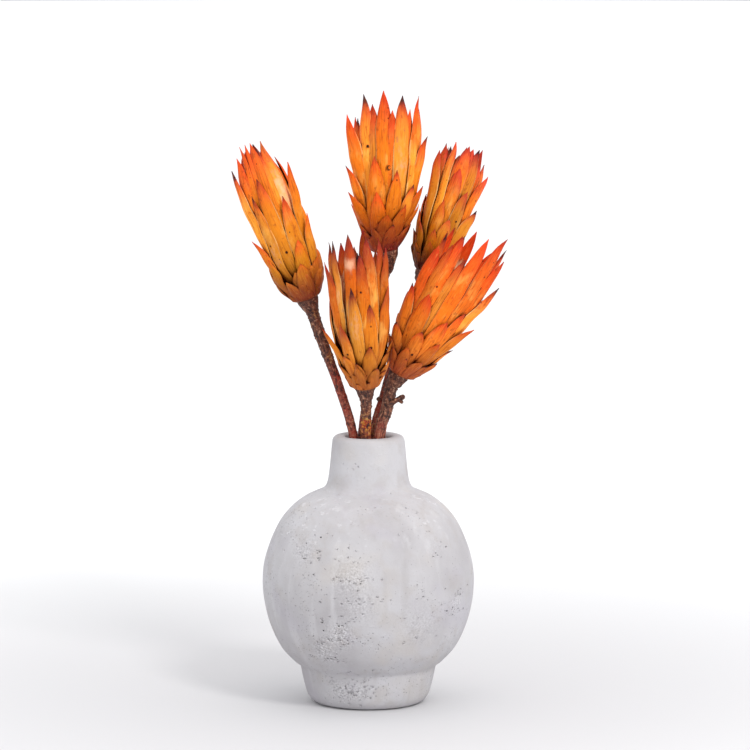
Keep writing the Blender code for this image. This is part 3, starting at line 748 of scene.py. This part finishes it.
def dressed(head, layer, lobes, luck):
    """Every bract to grow in this layer, as (turn, tip, reach, inset, size, face, lot, marks)."""
    grown = []
    gap = head["open"] or (0, 0)
    lots = {bract[:2]: bract[4] for bract in head["bracts"] if len(bract) > 4}
    for turn, tip, reach in lobes:
        known = reach is not None
        # In front, only the bracts that are known stand in the middle layers.
        if not known and 1 <= layer <= 4 and abs(turn) < 72:
            continue
        marks = (layer, int(turn)) if known else None
        lot = lots.get(marks, luck.random())
        face, size = 0.0, 1.0
        if known and abs(turn) > 58:
            size = 0.80
            # A side bract turns its face a little to the front; its tip stands out as far sideways.
            eased = math.copysign(54 + (abs(turn) - 58) * 0.25, turn)
            reach *= math.sin(math.radians(turn)) / math.sin(math.radians(eased))
            face = math.copysign(0.38, turn)
            turn = eased
        if not known and layer > 3:
            if gap[0] < turn < gap[1]:
                continue
            tip *= head["back"] * luck.uniform(0.96, 1.04)
        grown.append((turn, tip, reach, 0.0, size, face, lot, marks))
    if layer == 0:
        for tip, number, size, inset in ((0.105, 9, 0.80, 0.0), (0.062, 8, 0.66, -0.35)):
            offset = luck.uniform(0, 40)
            for i in range(number):
                turn = offset + 360.0 * (i + luck.uniform(-0.25, 0.25)) / number
                grown.append((turn, tip * luck.uniform(0.75, 1.25), None, inset,
                              size * luck.uniform(0.8, 1.2), 0.0, luck.random(), None))
    if layer in (1, 4, 5):
        # Others fill the gaps from behind.
        for i, (turn, tip, reach) in enumerate(lobes):
            after = lobes[(i + 1) % len(lobes)]
            middle = turn + ((after[0] - turn) % 360.0) * luck.uniform(0.40, 0.60)
            middle = (middle + 180.0) % 360.0 - 180.0
            shorter = luck.uniform(0.90, 0.99) if layer == 5 else luck.uniform(0.76, 0.92)
            share = min(tip, after[1]) * shorter
            share *= head["back"] if layer > 3 else 1.0
            if layer > 3 and gap[0] < middle < gap[1]:
                continue
            if layer == 5 or abs(middle) > 72 or layer == 1 and share < 0.2:
                grown.append((middle, share, None, 0.8, luck.uniform(0.9, 1.08), 0.0, luck.random(), None))
    return grown


def build_head(name, head):
    outline = envelope(head)
    seed_name = name + "_bracts"
    layers = [lobes_of(seed_name, head, k) for k in range(6)]
    tips = [max(lobe[1] for lobe in lobes) for lobes in layers]
    place = place_of(head)
    material = bract_material("bracts_" + name, head)
    spin = 5.0 if name in ("left", "front", "right") else -5.0
    grown = []
    for layer, lobes in enumerate(layers):
        luck = random.Random("%s look %d" % (name, layer))
        every = dressed(head, layer, lobes, luck)
        grown.append(gather([bract_mesh(head, outline, tips, layer, lobe, luck, spin) for lobe in every]))
    whole = gather(grown)
    tree = BVHTree.FromPolygons(whole[0].tolist(), whole[1])
    for layer, (points, faces, facts) in enumerate(grown):
        # The share of light each point gets, kept for the painted shade in the bract colour.
        facts["clear"] = openness(points, facts.pop("facing"), tree)
        node = "%s_bracts_%d" % (name, layer + 1)
        make_piece(node + "_grown", points, faces, material, [node], facts, place=place)
    build_florets(name, head, outline, tips, place)


def build_florets(name, head, outline, tips, place):
    """A tuft of slender styles packed inside the bracts, rising from the neck."""
    luck = random.Random(name + " florets")
    long = head["long"]
    foot = NECK_TOP + 0.4
    top = (0.84 if name == "front" else 0.79) * long
    room = float(layer_radius(head, outline, tips, 5, 0.42)) - 2.4
    parts = []
    number = 90
    rows = np.linspace(0, 1, 9)
    sides = 6
    for k in range(number):
        spread = math.sqrt((k + 0.5) / number)
        turn = k * 2.399963 + luck.uniform(-0.1, 0.1)
        height = top * (1.0 - 0.14 * spread * spread) * luck.uniform(0.95, 1.0)
        centre = []
        for t in rows:
            r = 3.6 * spread + (room * spread - 3.6 * spread) * min(1.0, 1.9 * t) ** 0.8
            r *= 1.0 - 0.22 * max(0.0, t - 0.6) / 0.4
            a = turn + 0.15 * t
            centre.append((r * math.sin(a), -r * math.cos(a), foot + (height - foot) * t))
        width = np.interp(rows, [0, 0.3, 0.8, 0.93, 1], [0.5, 0.95, 0.9, 1.0, 0.25])
        width *= luck.uniform(0.85, 1.1)
        ring = []
        for (x, y, z), w in zip(centre, width):
            for s in range(sides):
                a = 2 * math.pi * s / sides
                ring.append((x + w * math.cos(a), y + w * math.sin(a), z))
        facts = {"along": np.repeat(rows, sides), "luck": np.full(len(ring), luck.random())}
        parts.append((np.array(ring), walls(len(rows), sides) + caps(len(rows), sides), facts))
    points, faces, facts = gather(parts)
    make_piece(name + "_florets_tuft", points, faces, MATERIALS["florets"], [name + "_florets"],
               facts, place=place)


# ---------------------------------------------------------------- stems

def smooth_path(points, per):
    padded = [points[0]] + list(points) + [points[-1]]
    found = []
    for i in range(1, len(padded) - 2):
        p0, p1, p2, p3 = padded[i - 1], padded[i], padded[i + 1], padded[i + 2]
        steps = per if i > 1 else max(1, per // 4)
        for j in range(steps):
            t = j / steps
            found.append(tuple(
                0.5 * (2 * b + (c - a) * t + (2 * a - 5 * b + 4 * c - d) * t * t
                       + (3 * b - a - 3 * c + d) * t ** 3)
                for a, b, c, d in zip(p0, p1, p2, p3)))
    found.append(tuple(points[-1]))
    return found


def tube(path, sides, scars, seed, rings=lambda at: 0.6):
    """A rough round stem along the path: (points, faces, attributes)."""
    path = np.asarray(path, float)
    centre, radius = path[:, :3], path[:, 3]
    step = np.concatenate([[0], np.cumsum(np.linalg.norm(np.diff(centre, axis=0), axis=1))])
    at = [0.0]
    while at[-1] < step[-1] - 0.4:
        at.append(min(step[-1], at[-1] + rings(at[-1] / step[-1])))
    at = np.array(at)
    rows = len(at)
    centre = np.stack([np.interp(at, step, centre[:, i]) for i in range(3)], 1)
    radius = np.interp(at, step, radius)
    ahead = np.gradient(centre, at, axis=0)
    ahead /= np.linalg.norm(ahead, axis=1, keepdims=True)
    side = np.cross(ahead, [0, 1, 0])
    side /= np.linalg.norm(side, axis=1, keepdims=True)
    other = np.cross(ahead, side)
    angle = 2 * math.pi * np.arange(sides) / sides
    swell, scar = np.zeros((rows, sides)), np.zeros((rows, sides))
    for where, facing, size, high in scars:
        d = (at[:, None] - where) / size
        e = (angle[None, :] - facing + math.pi) % (2 * math.pi) - math.pi
        e = e * radius[:, None] / size * 0.75
        bump = np.exp(-d * d * np.where(d > 0, 0.8, 3.0) - e * e)
        swell = np.maximum(swell, high * bump)
        scar = np.maximum(scar, bump)
    points = []
    for i in range(rows):
        for s in range(sides):
            x, y = math.cos(angle[s]), math.sin(angle[s])
            r = radius[i] * (1 + 0.05 * noise.noise((x * 1.3, y * 1.3, at[i] * 0.08 + seed)))
            r += 0.16 * noise.noise((x * 3, y * 3, at[i] * 0.35 + seed)) + swell[i, s]
            r += 0.10 * noise.noise((x * 7, y * 7, at[i] * 1.1 + seed))
            points.append(centre[i] + r * (x * side[i] + y * other[i]))
    facts = {"by": np.repeat(at, sides), "turn": (angle[None, :] * radius[:, None]).ravel(),
             "old": np.repeat(soft((at / step[-1] - 0.66) / 0.24), sides), "scar": scar.ravel()}
    return np.array(points), walls(rows, sides) + caps(rows, sides), facts


def build_stem(name):
    head, place = HEADS[name], place_of(HEADS[name])
    points = list(STEMS[name])
    top = points[-1][3]
    def on_axis(height, radius):
        spot = place @ Vector((0.0, 0.0, height * MM)) / MM
        return (spot.x, spot.y, spot.z, radius)

    # The stalk swells a little more than its solid where it carries the scales.
    wide = head["collar"] * NECK_R
    points += [on_axis(-11.0, 1.08 * top), on_axis(-6.5, 0.45 * top + 0.54 * wide),
               on_axis(-2.6, 0.98 * wide)]
    points = smooth_path(points, 8) + [on_axis(1.0, wide), on_axis(NECK_TOP, NECK_R)]
    length = sum((Vector(a[:3]) - Vector(b[:3])).length for a, b in zip(points, points[1:]))
    luck = random.Random(name + " bark")
    # Leaf scars in a spiral, close together and scaly near the head.
    scars, where, k = [], 0.5 * length, 0
    while where < length - 13:
        near = float(soft((where / length - 0.68) / 0.2))
        size = luck.uniform(0.6, 1.4) * (1 - 0.25 * near)
        scars.append((where, (k * GOLDEN + luck.uniform(-0.6, 0.6)) % (2 * math.pi), size,
                      luck.uniform(0.15, 0.55) + 0.2 * near))
        where += luck.uniform(0.35, 0.75) if near > 0.4 else luck.uniform(2.5, 6.5)
        k += 1
    parts = [tube(points, 30, scars, luck.uniform(0, 50), lambda share: 0.55 if share > 0.48 else 2.5)]
    for owner, start, end, radius in GROWTHS:
        if owner == name:
            a, b = Vector(start), Vector(end)
            twig = [(*a.lerp(b, t), radius * w) for t, w in
                    ((0, 1.25), (0.2, 1.0), (0.5, 0.80), (0.8, 0.92), (0.95, 0.75), (1.0, 0.40))]
            parts.append(tube(twig, 14, [(6.0, 1.0, 1.0, 0.7), (9.0, 4.0, 1.0, 0.8)], 7.0))
            if (b - a).length > 8.0:
                # The longer stub ends in a short fork.
                fork, tip = a.lerp(b, 0.62), a.lerp(b, 0.80) + Vector((1.2, -0.6, -3.4))
                prong = [(*fork.lerp(tip, t), radius * w) for t, w in
                         ((0, 0.70), (0.4, 0.62), (0.8, 0.55), (1.0, 0.30))]
                parts.append(tube(prong, 12, [], 3.0))
            for some in parts[1:]:
                some[2]["old"] = np.ones(len(some[0]))
    points, faces, facts = gather(parts)
    facts["tone"] = np.full(len(points), {"corner": 1.0, "front": 0.35}.get(name, 0.0))
    facts["dyed"] = (name == "front") * np.exp(-((points[:, 2] - 172.0) / 7.0) ** 2)
    make_piece(name + "_stem_bark", points, faces, MATERIALS["bark"], [name + "_stem"], facts)


# ---------------------------------------------------------------- vase

def vase_outline(spacing):
    """The turned profile as closely spaced points, from the floor of the inside round to the foot."""
    profile = np.array(CAVITY + OUTSIDE)
    dense = []
    for i in range(len(profile) - 1):
        a, b = profile[i], profile[i + 1]
        before, after = profile[max(i - 1, 0)], profile[min(i + 2, len(profile) - 1)]
        size = np.linalg.norm(b - a)
        steps = max(2, int(size / (spacing if i >= len(CAVITY) - 5 else 4.0)))
        m0, m1 = (b - before) / 2, (after - a) / 2
        m0 = m0 * min(1.0, size / max(np.linalg.norm(m0), 1e-9))
        m1 = m1 * min(1.0, size / max(np.linalg.norm(m1), 1e-9))
        for t in np.arange(steps) / steps:
            dense.append((2 * t ** 3 - 3 * t ** 2 + 1) * a + (t ** 3 - 2 * t ** 2 + t) * m0
                         + (3 * t ** 2 - 2 * t ** 3) * b + (t ** 3 - t ** 2) * m1)
    return dense[1:]


def unevenness(turn, r, z):
    x, y = math.cos(turn), math.sin(turn)
    if z < 0.5 and r < 34:
        return 0.0
    rough = 0.26 * noise.noise((x * 1.6, y * 1.6, z * 0.028))
    return rough + 0.09 * noise.noise((x * r * 0.11, y * r * 0.11, z * 0.11))


def pit_cutter():
    """Small balls half sunk in the outer wall, gathered in patches as trapped air leaves them."""
    luck = random.Random("air holes")
    outer = np.array(OUTSIDE[3:-1])[::-1]
    patches = list(PIT_PATCHES)
    for _ in range(9):
        patches.append((luck.uniform(80, 280), luck.uniform(12, 112), luck.uniform(6, 12),
                        luck.randint(18, 50)))
    patches += [(luck.uniform(0, 360), luck.uniform(8, 150), 3.0, 1) for _ in range(70)]
    taken, cutter = [], bmesh.new()
    for turn, height, spread, number in patches:
        for _ in range(number):
            z = height + luck.gauss(0, spread * 0.55)
            if not 3.0 < z < 156.0:
                continue
            r = float(np.interp(z, outer[:, 1], outer[:, 0]))
            a = math.radians(turn - 90.0) + luck.gauss(0, spread * 0.6) / r
            size = min(0.70, 0.24 + luck.expovariate(9.0))
            r += unevenness(a, r, z) - 0.25 * size
            spot = Vector((r * math.cos(a), r * math.sin(a), z))
            if all((spot - other).length > size + room + 0.08 for other, room in taken):
                taken.append((spot, size))
                turned = Matrix.Rotation(luck.uniform(0, 6.28), 4, Vector((0.3, 0.5, 0.8)))
                flat = (size * luck.uniform(0.8, 1.0), size * luck.uniform(0.7, 1.0))
                shape = Matrix.Diagonal((size, *flat, 1.0))
                bmesh.ops.create_icosphere(cutter, subdivisions=1, radius=MM,
                                           matrix=Matrix.Translation(spot * MM) @ turned @ shape)
    mesh = bpy.data.meshes.new("pit_cutter")
    cutter.to_mesh(mesh)
    cutter.free()
    return mesh


def build_vase():
    dense, sides = vase_outline(1.5), VASE_SIDES
    points = [(0.0, 0.0, 15.0)]
    for r, z in dense:
        for s in range(sides):
            a = 2 * math.pi * s / sides
            wide = r + unevenness(a, r, z)
            points.append((wide * math.cos(a), wide * math.sin(a), z))
    points.append((0.0, 0.0, 0.0))
    last = len(points) - 1
    faces = [(0, 1 + s, 1 + (s + 1) % sides) for s in range(sides)]
    faces += walls(len(dense), sides, first=1, flipped=True)
    a = 1 + (len(dense) - 1) * sides
    faces += [(last, a + (s + 1) % sides, a + s) for s in range(sides)]
    made = make_piece("vase_concrete", points, faces, MATERIALS["concrete"], ["vase"])
    cutter = new_object("pit_cutter", pit_cutter())
    # Faces from the cutter carry the second slot's number, which then marks the pits.
    cutter.data.polygons.foreach_set("material_index", [1] * len(cutter.data.polygons))
    for mesh in (made.data, cutter.data):
        mesh.materials.clear()
        mesh.materials.append(MATERIALS["concrete"])
        mesh.materials.append(MATERIALS["bark"])
    cut = made.modifiers.new("pits", "BOOLEAN")
    cut.operation, cut.solver, cut.object = "DIFFERENCE", "MANIFOLD", cutter
    ready = made.evaluated_get(bpy.context.evaluated_depsgraph_get())
    mesh = bpy.data.meshes.new_from_object(ready)
    made.modifiers.clear()
    made.data = mesh
    bpy.data.objects.remove(cutter)
    index = np.zeros(len(mesh.polygons), np.int32)
    mesh.polygons.foreach_get("material_index", index)
    body = bmesh.new()
    body.from_mesh(mesh)
    for edge in body.edges:
        kinds = {face.material_index for face in edge.link_faces}
        edge.smooth = len(kinds) == 1
    for face in body.faces:
        face.smooth = True
        face.material_index = 0
    body.to_mesh(mesh)
    body.free()
    mesh.materials.pop(index=1)
    # The pit faces, marked for the painted shade in the air holes.
    mesh.attributes.new("pit", "FLOAT", "FACE").data.foreach_set("value", index.astype(np.float32))
    spots = np.zeros(3 * len(mesh.vertices), np.float32)
    mesh.vertices.foreach_get("co", spots)
    x, y, z = spots.reshape(-1, 3).T / MM
    crowd = np.zeros(len(z))
    for turn, height, spread, number in PIT_PATCHES:
        aside = (np.arctan2(y, x) - math.radians(turn - 90.0) + math.pi) % (2 * math.pi) - math.pi
        reach = (aside * np.hypot(x, y) / (0.75 * spread)) ** 2 + ((z - height) / (0.7 * spread)) ** 2
        crowd = np.maximum(crowd, min(1.0, number / 90.0) * np.exp(-reach))
    mesh.attributes.new("crowd", "FLOAT", "POINT").data.foreach_set("value", crowd.astype(np.float32))
    return made


# ---------------------------------------------------------------- stage, light, camera

def build_stage():
    n = Nodes(bpy.data.materials.new("pale_floor"))
    far = n.add("ShaderNodeVectorMath", {0: n.place()}, operation="LENGTH").outputs["Value"]
    # Painted shade: the floor is darker near the vase and pales to near white far off.
    n.colour = n.mix(n.step(far, 0.10, 0.80), (0.67, 0.665, 0.68), (0.97, 0.975, 0.98))
    mesh = bpy.data.meshes.new("floor")
    turns = [2 * math.pi * s / FLOOR_SIDES for s in range(FLOOR_SIDES)]
    ring = [(FLOOR_R * math.cos(a), FLOOR_R * math.sin(a), FLOOR_Z) for a in turns]
    mesh.from_pydata(ring, [], [tuple(range(FLOOR_SIDES))])
    mesh.materials.append(n.surface({"Roughness": 0.7, "Specular IOR Level": 0.2}))
    new_object("floor", mesh)


def build_light():
    """A broad overhead softbox as the world, a little brighter to the right, and one soft key light."""
    world = bpy.context.scene.world = bpy.data.worlds.new("studio")
    n = Nodes(world)
    ways = n.add("ShaderNodeSeparateXYZ", {0: n.place("Generated")}).outputs
    up = n.step(ways["Z"], -0.1, 0.9, 0.66, 1.24)
    across = n.math("MULTIPLY_ADD", ways["X"], 0.06, 1.0)
    sky = n.tree.nodes["Background"].inputs
    sky["Color"].default_value = (0.985, 0.99, 1.0, 1.0)
    n.put(sky["Strength"], n.times(up, across))
    data = bpy.data.lights.new("key", "AREA")
    data.shape, data.size, data.energy, data.color = "DISK", 0.5, 18.0, (1.0, 0.985, 0.96)
    key = new_object("key", data)
    key.location = KEY_PLACE
    key.rotation_euler = (Vector(KEY_TARGET) - Vector(KEY_PLACE)).to_track_quat("-Z", "Y").to_euler()


def build_camera():
    data = bpy.data.cameras.new("camera")
    data.sensor_width, data.lens = 36.0, CAMERA_LENS
    data.clip_start, data.clip_end = 0.1, 100.0
    made = bpy.context.scene.camera = new_object("camera", data)
    made.location = CAMERA_PLACE
    made.rotation_euler = (math.radians(90.0 - CAMERA_DOWN), 0.0, 0.0)


bpy.context.scene.view_settings.view_transform = "Standard"
MATERIALS = {"bark": bark_material(), "florets": floret_material(), "concrete": concrete_material()}
build_vase()
for head_name, head_data in HEADS.items():
    build_stem(head_name)
    build_head(head_name, head_data)
build_stage()
build_light()
build_camera()
